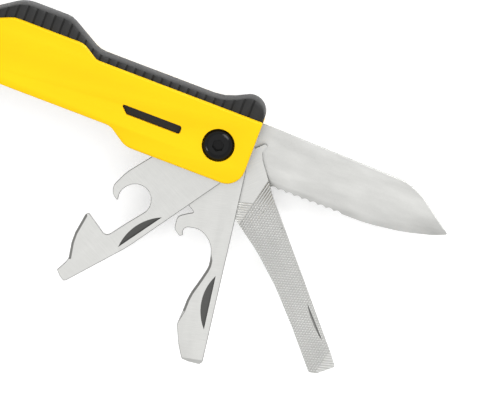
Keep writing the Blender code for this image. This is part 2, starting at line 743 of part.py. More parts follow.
def make_scraper():
    bottom = MIDDLE - SCRAPER_THICKNESS / 2
    notch_right = EDGE_X + ROLLER_FROM_EDGE + ROLLER_RADIUS
    corners = [
        (TANG_START, TANG_LOW, 1.5), (NECK_X, TANG_LOW, 8), (SHOULDER_X, SCRAPER_BOTTOM, 5),
        (notch_right + 0.1, SCRAPER_BOTTOM, 0), *roller_notch(),
        (EDGE_X + 4.5, SCRAPER_BOTTOM, 0.5), (EDGE_X, SCRAPER_BOTTOM + 8, 0.4),
        (EDGE_X, SCRAPER_TOP - 14, 0), (EDGE_X + 16, SCRAPER_TOP, 0.5),
        (SHOULDER_X - 3, SCRAPER_TOP, 6), (NECK_X, TANG_HIGH, 8), (TANG_START, TANG_HIGH, 1.5),
    ]
    scraper = slab("scraper_head", rounded(corners), bottom, bottom + SCRAPER_THICKNESS)
    bevel = wedge(
        "scraper_bevel", (EDGE_X, SCRAPER_TOP + 10), (EDGE_X, SCRAPER_BOTTOM - 10), SCRAPER_BEVEL,
        SCRAPER_THICKNESS - SCRAPER_EDGE, bottom + SCRAPER_THICKNESS,
    )
    combine(scraper, helper(bevel))
    left = EDGE_X + 25.0
    nail_slot = [
        (left, 12.0, 1.8), (left, 16.5, 1.8), (left + 13.0, 15.2, 0.7), (left + 13.0, 13.3, 0.7),
    ]
    combine(scraper, helper(slab("nail_slot", rounded(nail_slot), bottom - 1, bottom + 4)))
    for number, x in enumerate(tang_screw_places(), 1):
        hole = drum(
            f"scraper_bore_{number}", TANG_BARREL_DIAMETER + 2 * RADIAL_GAP, bottom - 1, bottom + 4,
            x, TANG_CENTRE_Y, SMALL_SIDES,
        )
        combine(scraper, helper(hole))
    keep(scraper, steel)


def make_tang_spacers(cut):
    left = HANDLE_LEFT + HEEL_WALL + SEAT_GAP
    outline = [
        (TANG_START, TANG_LOW, 2.1), (left, TANG_LOW, 2.1),
        (left, TANG_HIGH, 2.1), (TANG_START, TANG_HIGH, 2.1),
    ]
    bottom = MIDDLE + SCRAPER_THICKNESS / 2 + STACK_GAP
    front = slab(
        "front_tang_spacer", rounded(moved_inwards(outline, 2 * SEAT_GAP)), bottom, HEIGHT - STACK_BACK
    )
    for name in ("tang_bore_1", "tang_bore_2"):
        combine(front, cut[name])
    rear = mirrored(front, "rear_tang_spacer")
    keep(front, black)
    keep(rear, black)


# Build

for old in list(bpy.data.objects):
    bpy.data.objects.remove(old)

parts = bpy.data.collections.new("Painters multi tool")
helpers = bpy.data.collections.new("Cutters")
bpy.context.scene.collection.children.link(parts)
bpy.context.scene.collection.children.link(helpers)

body = bpy.data.objects.new("pivot_axis", None)
body.location = (PIVOT_X * MM, 0, 0)
parts.objects.link(body)
turned_over = {}

yellow = material("Yellow nylon", (1.0, 0.72, 0.02), 0.42)
black = material("Black grip", (0.03, 0.03, 0.032), 0.6)
steel = material("Brushed steel", (0.62, 0.62, 0.6), 0.32, 1.0)
bronze = material("Bronze washer", (0.6, 0.4, 0.18), 0.35, 1.0)
screw_black = material("Black oxide", (0.02, 0.02, 0.022), 0.3, 0.8)

shared_cutters = make_handle_cutters()
make_plates(shared_cutters)
make_shells(shared_cutters)
make_liners(shared_cutters)
make_fasteners()
make_washers()
make_pins()
make_knife()
make_file()
make_cap_lifter()
make_can_opener()
make_scraper()
make_tang_spacers(shared_cutters)

for piece in parts.objects:
    if piece.type == "MESH":
        piece.data.shade_smooth()
        piece.data.set_sharp_from_angle(angle=math.radians(35))
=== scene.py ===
"""Surfaces, fine geometry, light and camera for the painters' multi tool."""

import json
import math

import bpy
from mathutils import Matrix, Vector


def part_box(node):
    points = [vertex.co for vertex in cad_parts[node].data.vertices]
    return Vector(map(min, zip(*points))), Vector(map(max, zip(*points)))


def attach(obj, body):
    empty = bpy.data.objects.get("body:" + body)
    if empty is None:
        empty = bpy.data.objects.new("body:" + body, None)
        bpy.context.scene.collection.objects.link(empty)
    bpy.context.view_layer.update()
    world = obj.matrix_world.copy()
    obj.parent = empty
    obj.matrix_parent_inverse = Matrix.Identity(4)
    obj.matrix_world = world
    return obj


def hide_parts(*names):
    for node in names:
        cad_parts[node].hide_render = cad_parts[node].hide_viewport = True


bl_info = {
    "name": "Painters Multi Tool",
    "version": (1, 0, 0),
    "blender": (4, 5, 0),
    "location": "View3D > Sidebar > Multi Tool",
    "description": "Finishes a folding painters' multi tool and stages it",
    "category": "Object",
}

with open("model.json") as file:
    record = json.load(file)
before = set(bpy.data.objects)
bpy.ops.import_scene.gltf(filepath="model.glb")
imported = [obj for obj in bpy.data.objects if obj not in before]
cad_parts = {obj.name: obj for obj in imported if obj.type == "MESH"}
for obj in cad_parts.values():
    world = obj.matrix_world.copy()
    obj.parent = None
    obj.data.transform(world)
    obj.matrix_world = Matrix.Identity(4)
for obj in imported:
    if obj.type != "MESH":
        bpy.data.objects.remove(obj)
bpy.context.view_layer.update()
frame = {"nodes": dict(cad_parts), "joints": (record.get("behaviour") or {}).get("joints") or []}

MM = 0.001
JOINTS = {joint["child"]: joint for joint in frame["joints"]}
PIVOT = Vector(JOINTS["knife"]["pos_m"])
FRONT_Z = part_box("front_plate")[1][2]
TOOL_ANGLES = {"knife": 0.0, "file": -43.4, "cap_lifter": -75.8, "can_opener": -117.2}
RIB_DEPTH = 0.6 * MM
RIB_FOOT = 7.5 * MM
# Head height, shank diameter and hex key of each screw, in millimetres
SCREWS = {
    "pivot_screw": (2.7, 5.0, 3.0),
    "tang_screw_1": (1.9, 3.0, 2.1),
    "tang_screw_2": (1.9, 3.0, 2.1),
}
SOCKET_DEPTH = 2.4 * MM
DOME_STEPS = 10
RECESS_MARGIN = 1.2 * MM

# The lengths below are in millimetres from the pivot, in a tool's own frame, with +X to its tip
# Each way that the file is cut: its slant in degrees, its share of the depth, its start and end
FILE_CUTS = ((-59.5, 1.0, 18.4, 61.6), (59.5, 0.9, 17.4, 68.5))
# A cut's width as a share of the pitch
CUT_WIDTH = 0.74
# The file's upper and lower edge, with the start and end of its notches
NOTCHED_EDGES = ((1, 18.0, 70.0), (-1, 25.0, 72.0))
EDGE_NOTCH_PITCH = 0.84
# Where each nail nick ends at the latest, before the ground screwdriver tips
NICK_ENDS = {"file": 70, "cap_lifter": 60, "can_opener": 50}
# How much shallower a nick is at its round side
NICK_SLOPE = 0.88
# The stretch of outline that carries a ground bevel, along and across the tool
GROUND_STRETCHES = {
    "cap_lifter": ((32.5, 52.0), (-6.5, 1.8)), "can_opener": ((42.9, 55.9), (-12.0, -4.0)),
}
# The blade's cutting edge lies below this height, beyond this distance
KNIFE_EDGE_TOP = -3.0
KNIFE_EDGE_START = 16.0
# Materials of a ground tool: the painted shade of a nail nick, and the painted shade on its ground
# bevels and broken edges
NICK_SHADE, BEVEL_SHADE = 1, 2

# Each lamp: its power's setting, its place and its diameter, in metres
LAMPS = {
    "Overhead softbox": ("overhead", (0.1, 0.6, 3.6), 5.6),
    "Spine softbox": ("side", (0.5, 1.05, 0.75), 0.8),
    "Edge softbox": ("edge", (-0.8, -0.8, 0.7), 0.3),
}
WELD = 1e-6
FLAT = math.radians(0.4)


# Sizes and colours

class HandleLook(bpy.types.PropertyGroup):
    plate_colour: bpy.props.FloatVectorProperty(
        name="Plate colour", description="Moulded side plates", subtype="COLOR", size=3,
        min=0, max=1, default=(0.955, 0.59, 0.003),
    )
    grip_colour: bpy.props.FloatVectorProperty(
        name="Grip colour", description="Ribbed grip shells", subtype="COLOR", size=3,
        min=0, max=1, default=(0.011, 0.011, 0.011),
    )
    plate_round: bpy.props.FloatProperty(
        name="Plate edge", description="Rounding that runs on from a side plate's edge to its face",
        default=0.7 * MM, unit="LENGTH", precision=5,
    )
    hole_round: bpy.props.FloatProperty(
        name="Hole edge", description="Rounding at the recess and slot rims",
        default=0.2 * MM, unit="LENGTH", precision=5,
    )
    rib_round: bpy.props.FloatProperty(
        name="Rib edge", description="Rounding of the grip's ribs",
        default=0.14 * MM, unit="LENGTH", precision=5,
    )


class SteelLook(bpy.types.PropertyGroup):
    colour: bpy.props.FloatVectorProperty(
        name="Steel colour", description="Ground stainless steel", subtype="COLOR", size=3,
        min=0, max=1, default=(0.505, 0.505, 0.49),
    )
    edge: bpy.props.FloatProperty(
        name="Edge break", description="Width of the broken edge round a stamped tool",
        default=0.17 * MM, unit="LENGTH", precision=5,
    )
    sharp_edge: bpy.props.FloatProperty(
        name="Cutting bevel", description="Width of the ground bevel on a hook or a spike",
        default=0.75 * MM, unit="LENGTH", precision=5,
    )
    tooth_pitch: bpy.props.FloatProperty(
        name="Tooth pitch", description="Distance between the file's cuts, square to them",
        default=0.72 * MM, unit="LENGTH", precision=5,
    )
    tooth_depth: bpy.props.FloatProperty(
        name="Tooth depth", description="Depth of the file's cuts",
        default=0.155 * MM, unit="LENGTH", precision=5,
    )


class ScrewLook(bpy.types.PropertyGroup):
    colour: bpy.props.FloatVectorProperty(
        name="Screw colour", description="Black oxide on the screws and nuts", subtype="COLOR",
        size=3, min=0, max=1, default=(0.004, 0.0042, 0.0045),
    )
    rim: bpy.props.FloatProperty(
        name="Rim height", description="Straight side of a button head under its dome",
        default=0.5 * MM, unit="LENGTH", precision=5,
    )
    crown: bpy.props.FloatProperty(
        name="Crown", description="Flat top of a button head, as a share of its diameter",
        default=0.5, min=0.3, max=0.9,
    )


class StageLook(bpy.types.PropertyGroup):
    distance: bpy.props.FloatProperty(
        name="Camera distance", description="From the lens to the front plate",
        default=3.0, unit="LENGTH",
    )
    frame_width: bpy.props.FloatProperty(
        name="View width", description="Width of the view at the front plate",
        default=146.5 * MM, unit="LENGTH",
    )
    aim: bpy.props.FloatVectorProperty(
        name="Aim", description="Middle of the view, measured from the pivot", subtype="XYZ",
        size=2, default=(14.4 * MM, -11.7 * MM),
    )
    tilt: bpy.props.FloatProperty(
        name="Tilt", description="How far the camera leans towards the spine",
        default=math.radians(7), unit="ROTATION",
    )
    roll: bpy.props.FloatProperty(
        name="Roll", description="How far the handle's axis drops to the right",
        default=math.radians(20.8), unit="ROTATION",
    )
    zenith: bpy.props.FloatProperty(
        name="Zenith", description="Strength of the even light from above", default=0.68,
    )
    horizon: bpy.props.FloatProperty(
        name="Horizon", description="Strength of the even light from the sides", default=0.16,
    )
    overhead: bpy.props.FloatProperty(
        name="Overhead", description="Power of the overhead softbox", default=42.0,
    )
    side: bpy.props.FloatProperty(
        name="Side", description="Power of the spine-side softbox", default=13.0,
    )
    edge: bpy.props.FloatProperty(
        name="Edge", description="Power of the small softbox across from it", default=4.0,
    )


def look(name):
    return getattr(bpy.context.scene, "multi_tool_" + name)


# Node groups

SURFACE_OUTPUTS = (
    ("Colour", "NodeSocketColor"), ("Roughness", "NodeSocketFloat"), ("Normal", "NodeSocketVector"),
)


def new_group(name, inputs, outputs):
    group = bpy.data.node_groups.new(name, "ShaderNodeTree")
    for label, kind, value in inputs:
        socket = group.interface.new_socket(label, in_out="INPUT", socket_type=kind)
        socket.default_value = value
    for label, kind in outputs:
        group.interface.new_socket(label, in_out="OUTPUT", socket_type=kind)
    ends = group.nodes.new("NodeGroupInput"), group.nodes.new("NodeGroupOutput")
    return group, *ends


def add(tree, kind, settings=None, **links):
    """Adds a node; each link is a value or another node's output socket."""
    node = tree.nodes.new(kind)
    for name, value in (settings or {}).items():
        setattr(node, name, value)
    for name, value in links.items():
        socket = node.inputs[int(name[1:])] if name[0] == "i" and name[1:].isdigit() else (
            node.inputs[name.replace("_", " ")]
        )
        if isinstance(value, bpy.types.NodeSocket):
            tree.links.new(value, socket)
        else:
            socket.default_value = value
    return node


def brushed_group():
    """Fine parallel grinding lines, as a colour shift, a roughness and a normal."""
    if "Brushed lines" in bpy.data.node_groups:
        return bpy.data.node_groups["Brushed lines"]
    tree, start, end = new_group(
        "Brushed lines",
        [
            ("Vector", "NodeSocketVector", (0, 0, 0)),
            ("Colour", "NodeSocketColor", (0.7, 0.7, 0.7, 1)),
            ("Line scale", "NodeSocketFloat", 9000.0), ("Stretch", "NodeSocketFloat", 0.02),
            ("Roughness", "NodeSocketFloat", 0.3), ("Depth", "NodeSocketFloat", 0.1),
            ("Mottle", "NodeSocketFloat", 0.04),
        ],
        SURFACE_OUTPUTS,
    )
    squeeze = add(tree, "ShaderNodeCombineXYZ", i0=1.0, i1=start.outputs["Stretch"], i2=1.0)
    lined = add(
        tree, "ShaderNodeVectorMath", {"operation": "MULTIPLY"},
        i0=start.outputs["Vector"], i1=squeeze.outputs[0],
    )
    lines = add(
        tree, "ShaderNodeTexNoise", Vector=lined.outputs[0], Scale=start.outputs["Line scale"],
        Detail=3.0, Roughness=0.65,
    )
    streaked = add(
        tree, "ShaderNodeVectorMath", {"operation": "MULTIPLY"},
        i0=start.outputs["Vector"], i1=(0.3, 1.0, 1.0),
    )
    clouds = add(tree, "ShaderNodeTexNoise", Vector=streaked.outputs[0], Scale=260.0, Detail=4.0)
    shade = add(
        tree, "ShaderNodeMapRange", i0=lines.outputs["Fac"], i1=0.25, i2=0.75, i3=0.9, i4=1.06,
    )
    mottle = start.outputs["Mottle"]
    less = add(tree, "ShaderNodeMath", {"operation": "SUBTRACT"}, i0=1.0, i1=mottle)
    more = add(tree, "ShaderNodeMath", {"operation": "ADD"}, i0=1.0, i1=mottle)
    broad = add(
        tree, "ShaderNodeMapRange", i0=clouds.outputs["Fac"], i1=0.3, i2=0.7,
        i3=less.outputs[0], i4=more.outputs[0],
    )
    both = add(
        tree, "ShaderNodeMath", {"operation": "MULTIPLY"}, i0=shade.outputs[0], i1=broad.outputs[0],
    )
    tint = add(
        tree, "ShaderNodeVectorMath", {"operation": "SCALE"},
        i0=start.outputs["Colour"], Scale=both.outputs[0],
    )
    rough_shift = add(
        tree, "ShaderNodeMapRange", i0=lines.outputs["Fac"], i1=0.2, i2=0.8, i3=-0.06, i4=0.08,
    )
    rough_cloud = add(
        tree, "ShaderNodeMapRange", i0=clouds.outputs["Fac"], i1=0.3, i2=0.7, i3=-0.04, i4=0.05,
    )
    lined_roughness = add(
        tree, "ShaderNodeMath", {"operation": "ADD"},
        i0=start.outputs["Roughness"], i1=rough_shift.outputs[0],
    )
    roughness = add(
        tree, "ShaderNodeMath", {"operation": "ADD"},
        i0=lined_roughness.outputs[0], i1=rough_cloud.outputs[0],
    )
    bump = add(
        tree, "ShaderNodeBump", Strength=start.outputs["Depth"], Distance=0.02 * MM,
        Height=lines.outputs["Fac"],
    )
    tree.links.new(tint.outputs[0], end.inputs["Colour"])
    tree.links.new(roughness.outputs[0], end.inputs["Roughness"])
    tree.links.new(bump.outputs[0], end.inputs["Normal"])
    return tree


def moulded_group():
    """A spark-eroded mould grain with soft cloudiness, handling marks and a normal."""
    if "Moulded grain" in bpy.data.node_groups:
        return bpy.data.node_groups["Moulded grain"]
    tree, start, end = new_group(
        "Moulded grain",
        [
            ("Vector", "NodeSocketVector", (0, 0, 0)),
            ("Colour", "NodeSocketColor", (0.7, 0.7, 0.7, 1)),
            ("Grain scale", "NodeSocketFloat", 5000.0), ("Grain depth", "NodeSocketFloat", 0.15),
            ("Roughness", "NodeSocketFloat", 0.45), ("Shade spread", "NodeSocketFloat", 0.05),
        ],
        SURFACE_OUTPUTS,
    )
    grain = add(
        tree, "ShaderNodeTexVoronoi", {"feature": "SMOOTH_F1"}, Vector=start.outputs["Vector"],
        Scale=start.outputs["Grain scale"], Smoothness=0.6,
    )
    fine = add(
        tree, "ShaderNodeTexNoise", Vector=start.outputs["Vector"],
        Scale=start.outputs["Grain scale"], Detail=2.0,
    )
    height = add(
        tree, "ShaderNodeMath", {"operation": "ADD"},
        i0=grain.outputs["Distance"], i1=fine.outputs["Fac"],
    )
    clouds = add(tree, "ShaderNodeTexNoise", Vector=start.outputs["Vector"], Scale=90.0, Detail=4.0)
    spread = start.outputs["Shade spread"]
    low = add(tree, "ShaderNodeMath", {"operation": "SUBTRACT"}, i0=1.0, i1=spread)
    high = add(tree, "ShaderNodeMath", {"operation": "ADD"}, i0=1.0, i1=spread)
    shade = add(
        tree, "ShaderNodeMapRange", i0=clouds.outputs["Fac"], i1=0.3, i2=0.7,
        i3=low.outputs[0], i4=high.outputs[0],
    )
    tint = add(
        tree, "ShaderNodeVectorMath", {"operation": "SCALE"},
        i0=start.outputs["Colour"], Scale=shade.outputs[0],
    )
    rough_shift = add(
        tree, "ShaderNodeMapRange", i0=clouds.outputs["Fac"], i1=0.3, i2=0.7, i3=-0.05, i4=0.06,
    )
    roughness = add(
        tree, "ShaderNodeMath", {"operation": "ADD"},
        i0=start.outputs["Roughness"], i1=rough_shift.outputs[0],
    )
    bump = add(
        tree, "ShaderNodeBump", Strength=start.outputs["Grain depth"], Distance=0.05 * MM,
        Height=height.outputs[0],
    )
    tree.links.new(tint.outputs[0], end.inputs["Colour"])
    tree.links.new(roughness.outputs[0], end.inputs["Roughness"])
    tree.links.new(bump.outputs[0], end.inputs["Normal"])
    return tree


# Materials

def grouped_material(name, group, turn=0.0, metallic=0.0, gloss=0.5, **values):
    """A Principled material fed by a node group that reads Object coordinates about the pivot."""
    if name in bpy.data.materials:
        return bpy.data.materials[name]
    made = bpy.data.materials.new(name)
    made.use_nodes = True
    tree = made.node_tree
    shader = tree.nodes["Principled BSDF"]
    where = add(tree, "ShaderNodeTexCoord")
    centred = add(
        tree, "ShaderNodeMapping", {"vector_type": "TEXTURE"}, Vector=where.outputs["Object"],
        Location=PIVOT, Rotation=(0, 0, turn),
    )
    effect = add(tree, "ShaderNodeGroup", {"node_tree": group}, Vector=centred.outputs[0])
    for label, value in values.items():
        effect.inputs[label.replace("_", " ")].default_value = value
    tree.links.new(effect.outputs["Colour"], shader.inputs["Base Color"])
    tree.links.new(effect.outputs["Roughness"], shader.inputs["Roughness"])
    tree.links.new(effect.outputs["Normal"], shader.inputs["Normal"])
    shader.inputs["Metallic"].default_value = metallic
    shader.inputs["Specular IOR Level"].default_value = gloss
    return made


def yellow_nylon():
    return grouped_material(
        "Yellow nylon", moulded_group(), gloss=0.12, Colour=(*look("handle").plate_colour, 1),
        Grain_scale=4200.0, Grain_depth=0.12, Roughness=0.42, Shade_spread=0.02,
    )


def black_grip():
    return grouped_material(
        "Black grip", moulded_group(), gloss=0.3, Colour=(*look("handle").grip_colour, 1),
        Grain_scale=3600.0, Grain_depth=0.3, Roughness=0.5, Shade_spread=0.12,
    )


def tool_turn(body):
    return math.radians(TOOL_ANGLES.get(body, 0.0))


def ground_steel(body, across=True):
    """Steel with fine grinding lines across the tool, or along it."""
    return grouped_material(
        "Ground steel, " + body.replace("_", " "), brushed_group(), tool_turn(body), 1.0,
        Colour=(*look("steel").colour, 1), Line_scale=7000.0, Stretch=0.03 if across else 1.0,
        Roughness=0.34, Depth=0.12, Mottle=0.1 if body == "knife" else 0.04,
    )


def stamped_steel_painted_shade(body):
    """The striated steel of a stamped nail nick, darkened with painted shade for the nick's recess.
    """
    return grouped_material(
        "Stamped steel, " + body.replace("_", " "), brushed_group(), tool_turn(body), 1.0,
        Colour=(0.085, 0.085, 0.082, 1), Line_scale=2600.0, Stretch=0.05, Roughness=0.42, Depth=1.0,
    )


def painted_shade_steel(body):
    """Coarser ground steel, darkened with painted shade, for a hook's or a spike's bevel, a tool's
    broken edges and the file's nick.
    """
    return grouped_material(
        "Ground bevel, " + body.replace("_", " "), brushed_group(), tool_turn(body), 1.0,
        Colour=(0.2, 0.2, 0.193, 1), Line_scale=5000.0, Stretch=0.05, Roughness=0.4, Depth=0.4,
    )


def black_oxide():
    return grouped_material(
        "Black oxide", moulded_group(), gloss=0.15, Colour=(*look("screw").colour, 1),
        Grain_scale=6000.0, Grain_depth=0.08, Roughness=0.2, Shade_spread=0.15,
    )


def bronze():
    return grouped_material(
        "Bronze", brushed_group(), metallic=1.0, Colour=(0.62, 0.42, 0.2, 1), Line_scale=5000.0,
        Stretch=0.5, Roughness=0.35, Depth=0.2,
    )


# Modelling

def deselect():
    if bpy.context.mode != "OBJECT":
        bpy.ops.object.mode_set(mode="OBJECT")
    bpy.ops.object.select_all(action="DESELECT")


def activate(piece):
    deselect()
    piece.select_set(True)
    bpy.context.view_layer.objects.active = piece


def open_edit(piece, kind="VERT", select=False):
    activate(piece)
    bpy.ops.object.mode_set(mode="EDIT")
    bpy.ops.mesh.select_mode(type=kind)
    bpy.ops.mesh.select_all(action="SELECT" if select else "DESELECT")


def close_edit():
    bpy.ops.object.mode_set(mode="OBJECT")


def cleaned_copy(node, name, *materials):
    """A copy of a CAD node with its corners merged and its flat faces made whole."""
    piece = bpy.data.objects.new(name, frame["nodes"][node].data.copy())
    bpy.context.scene.collection.objects.link(piece)
    piece.data.materials.clear()
    for label in list(piece.data.attributes.keys()):
        if label == "custom_normal" or label.startswith("UV"):
            piece.data.attributes.remove(piece.data.attributes[label])
    for surface in materials:
        piece.data.materials.append(surface)
    open_edit(piece, select=True)
    bpy.ops.mesh.remove_doubles(threshold=WELD)
    bpy.ops.mesh.dissolve_limited(angle_limit=FLAT)
    close_edit()
    return piece


def add_drum(name, radius, low, high, x, y, sides):
    """A cylinder between two heights, with its place in its mesh."""
    deselect()
    bpy.ops.mesh.primitive_cylinder_add(
        vertices=sides, radius=radius, depth=high - low, location=(x, y, (low + high) / 2),
    )
    piece = bpy.context.object
    piece.name = name
    bpy.ops.object.transform_apply(location=True, rotation=True, scale=True)
    return piece


def select_edges(piece, wanted, sharpness=25):
    """Selects the sharp edges that the test accepts, given the places of both ends."""
    open_edit(piece, "EDGE")
    bpy.ops.mesh.edges_select_sharp(sharpness=math.radians(sharpness))
    close_edit()
    mesh = piece.data
    chosen = [
        edge.select and wanted(*(mesh.vertices[index].co for index in edge.vertices))
        for edge in mesh.edges
    ]
    # A face that stays selected would bring back all of its edges
    mesh.polygons.foreach_set("select", [False] * len(mesh.polygons))
    mesh.vertices.foreach_set("select", [False] * len(mesh.vertices))
    mesh.edges.foreach_set("select", chosen)
    bpy.ops.object.mode_set(mode="EDIT")


def select_faces(piece, wanted):
    open_edit(piece, "FACE")
    close_edit()
    for face in piece.data.polygons:
        face.select = wanted(face)
    bpy.ops.object.mode_set(mode="EDIT")


def round_edges(piece, width, segments=2, wanted=None, sharpness=25, material=-1, clamp=True):
    """Rounds the sharp edges that the test accepts; unclamped, short ones don't narrow the rest."""
    select_edges(piece, wanted or (lambda a, b: True), sharpness)
    bpy.ops.mesh.bevel(
        offset=width, segments=segments, profile=0.5, affect="EDGES", clamp_overlap=clamp,
        material=material,
    )
    close_edit()


def cut(piece, cutter, solver="EXACT"):
    """Applies one Boolean cut, and fails where it would leave the piece as it was."""
    before = len(piece.data.vertices)
    activate(piece)
    modifier = piece.modifiers.new("Cut", "BOOLEAN")
    modifier.object = cutter
    modifier.solver = solver
    bpy.ops.object.modifier_apply(modifier=modifier.name)
    if len(piece.data.vertices) == before:
        raise RuntimeError(piece.name + " was left uncut")
    bpy.data.objects.remove(cutter)


def joined(pieces, name):
    deselect()
    for piece in pieces:
        piece.select_set(True)
    bpy.context.view_layer.objects.active = pieces[0]
    bpy.ops.object.join()
    pieces[0].name = name
    return pieces[0]


def smooth(piece, degrees=32):
    activate(piece)
    bpy.ops.object.shade_smooth_by_angle(angle=math.radians(degrees))
    deselect()


def finish_piece(piece, body, node, degrees=32):
    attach(piece, body)
    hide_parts(node)
    smooth(piece, degrees)


def from_pivot(body, point):
    """A point of a tool in the tool's own frame, in millimetres, with +X to its tip."""
    return Matrix.Rotation(-tool_turn(body), 3, "Z") @ (point - PIVOT) / MM


def to_world(body, x, y, z):
    """The place of a point of a tool's frame, with x and y in millimetres and z in metres."""
    turned = Matrix.Rotation(tool_turn(body), 3, "Z") @ Vector((x * MM, y * MM, 0))
    return PIVOT.x + turned.x, PIVOT.y + turned.y, z


def shape_nick(tool, body):
    """Slopes a nail nick's floor, deepest at its straight side, and gives its faces the painted
    shade; returns its mouth's corners.
    """
    back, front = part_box(body)[0][2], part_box(body)[1][2]
    points = tool.data.vertices
    corners = set()
    for face in tool.data.polygons:
        lowest = min(points[index].co.z for index in face.vertices)
        near = from_pivot(body, face.center).x < NICK_ENDS[body]
        if near and back + 0.3 * MM < lowest < front - 0.3 * MM:
            # The nick's faces take the darker material of painted shade
            face.material_index = NICK_SHADE
            corners.update(face.vertices)
    mouth = {place_of(points[index].co) for index in corners if front - points[index].co.z < WELD}
    inside = [index for index in corners if points[index].co.z < front - 0.3 * MM]
    floor = {index: from_pivot(body, points[index].co) for index in inside}
    left = min(floor.values(), key=lambda spot: spot.x)
    right = max(floor.values(), key=lambda spot: spot.x)
    chord = (right - left).normalized()
    distance = {index: abs(chord.cross(spot - left).z) for index, spot in floor.items()}
    widest = max(distance.values())
    depth = front - min(points[index].co.z for index in inside)
    for index, away in distance.items():
        points[index].co.z = front - depth * (1 - NICK_SLOPE * away / widest)
    return mouth


def place_of(point):
    """A point's place in whole steps, which tells it again in a set."""
    return tuple(round(value / WELD) for value in point)


def grind_bevel(tool, body, sharp):
    """Grinds a wide bevel on the front face, along one stretch of the outline, and darkens it with
    painted shade.
    """
    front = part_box(body)[1][2]
    (left, right), (low, high) = GROUND_STRETCHES[body]

    def chosen(a, b):
        level = abs(a.z - front) < WELD and abs(b.z - front) < WELD
        spots = from_pivot(body, a), from_pivot(body, b)
        return level and place_of(a) not in sharp and all(
            left < spot.x < right and low < spot.y < high for spot in spots
        )

    round_edges(tool, look("steel").sharp_edge, 1, chosen, 50, BEVEL_SHADE, False)


def break_tool_edges(tool, node, width=None, wanted=None, sharp=(), material=-1):
    """Breaks the stamped edges round both faces of a tool, but not between two sharp places."""
    back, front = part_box(node)[0][2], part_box(node)[1][2]

    def on_face(a, b):
        level = any(abs(a.z - z) < WELD and abs(b.z - z) < WELD for z in (back, front))
        kept = place_of(a) in sharp and place_of(b) in sharp
        return level and not kept and (wanted is None or wanted(a, b))

    round_edges(tool, width or look("steel").edge, 2, on_face, 50, material, False)


def square_to(turn):
    """The direction square to a slanted cut, towards the tip."""
    return Vector((abs(math.sin(turn)), -math.cos(turn) * math.copysign(1, turn)))


# Operators

class MT_OT_side_plates(bpy.types.Operator):
    """Finishes both moulded side plates"""

    bl_idname = "multi_tool.side_plates"
    bl_label = "Side plates"

    def execute(self, context):
        for node, name in (("front_plate", "front_side_plate"), ("rear_plate", "rear_side_plate")):
            plate = cleaned_copy(node, name, yellow_nylon())
            low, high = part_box(node)
            outer = high[2] if node == "front_plate" else low[2]

            def rim(a, b):
                on_face = abs(a.z - outer) < WELD and abs(b.z - outer) < WELD
                inside = all(
                    low[i] + RECESS_MARGIN < p[i] < high[i] - RECESS_MARGIN
                    for p in (a, b) for i in (0, 1)
                )
                return on_face and inside

            def outer_rim(a, b):
                on_face = abs(a.z - outer) < WELD and abs(b.z - outer) < WELD
                return on_face and not rim(a, b)

            round_edges(plate, look("handle").hole_round, 3, rim)
            round_edges(plate, look("handle").plate_round, 4, outer_rim, 15)
            finish_piece(plate, "handle", node, 40)
        return {"FINISHED"}


class MT_OT_grip_shells(bpy.types.Operator):
    """Finishes both halves of the ribbed grip"""

    bl_idname = "multi_tool.grip_shells"
    bl_label = "Grip shells"

    def execute(self, context):
        for node, name in (("front_shell", "front_grip_shell"), ("rear_shell", "rear_grip_shell")):
            shell = cleaned_copy(node, name, black_grip())
            low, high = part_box(node)
            outer, inward = (high[2], -1) if node == "front_shell" else (low[2], 1)
            floor = outer + inward * RIB_DEPTH

            def rib(a, b):
                above = a.y > RIB_FOOT and b.y > RIB_FOOT
                flank = all((p.z - floor) * inward < WELD for p in (a, b))
                return above and flank and abs(a.z - floor) + abs(b.z - floor) > WELD

            round_edges(shell, look("handle").rib_round, 2, rib)
            finish_piece(shell, "handle", node)
        return {"FINISHED"}


class MT_OT_inner_pieces(bpy.types.Operator):
    """Finishes the liners, washers, pins and tang spacers"""

    bl_idname = "multi_tool.inner_pieces"
    bl_label = "Inner pieces"

    def execute(self, context):
        for node in ("front_liner", "rear_liner", "stop_pin", "well_spacer"):
            piece = cleaned_copy(node, "finished_" + node, ground_steel("handle", across=False))
            round_edges(piece, 0.08 * MM, 1)
            finish_piece(piece, "handle", node)
        for number in range(1, 6):
            node = f"washer_{number}"
            piece = cleaned_copy(node, f"turned_{node}", bronze())
            round_edges(piece, 0.06 * MM, 1)
            finish_piece(piece, "handle", node)
        for node in ("front_tang_spacer", "rear_tang_spacer"):
            piece = cleaned_copy(node, "moulded_" + node, black_grip())
            round_edges(piece, 0.3 * MM, 2)
            finish_piece(piece, "handle", node)
        return {"FINISHED"}


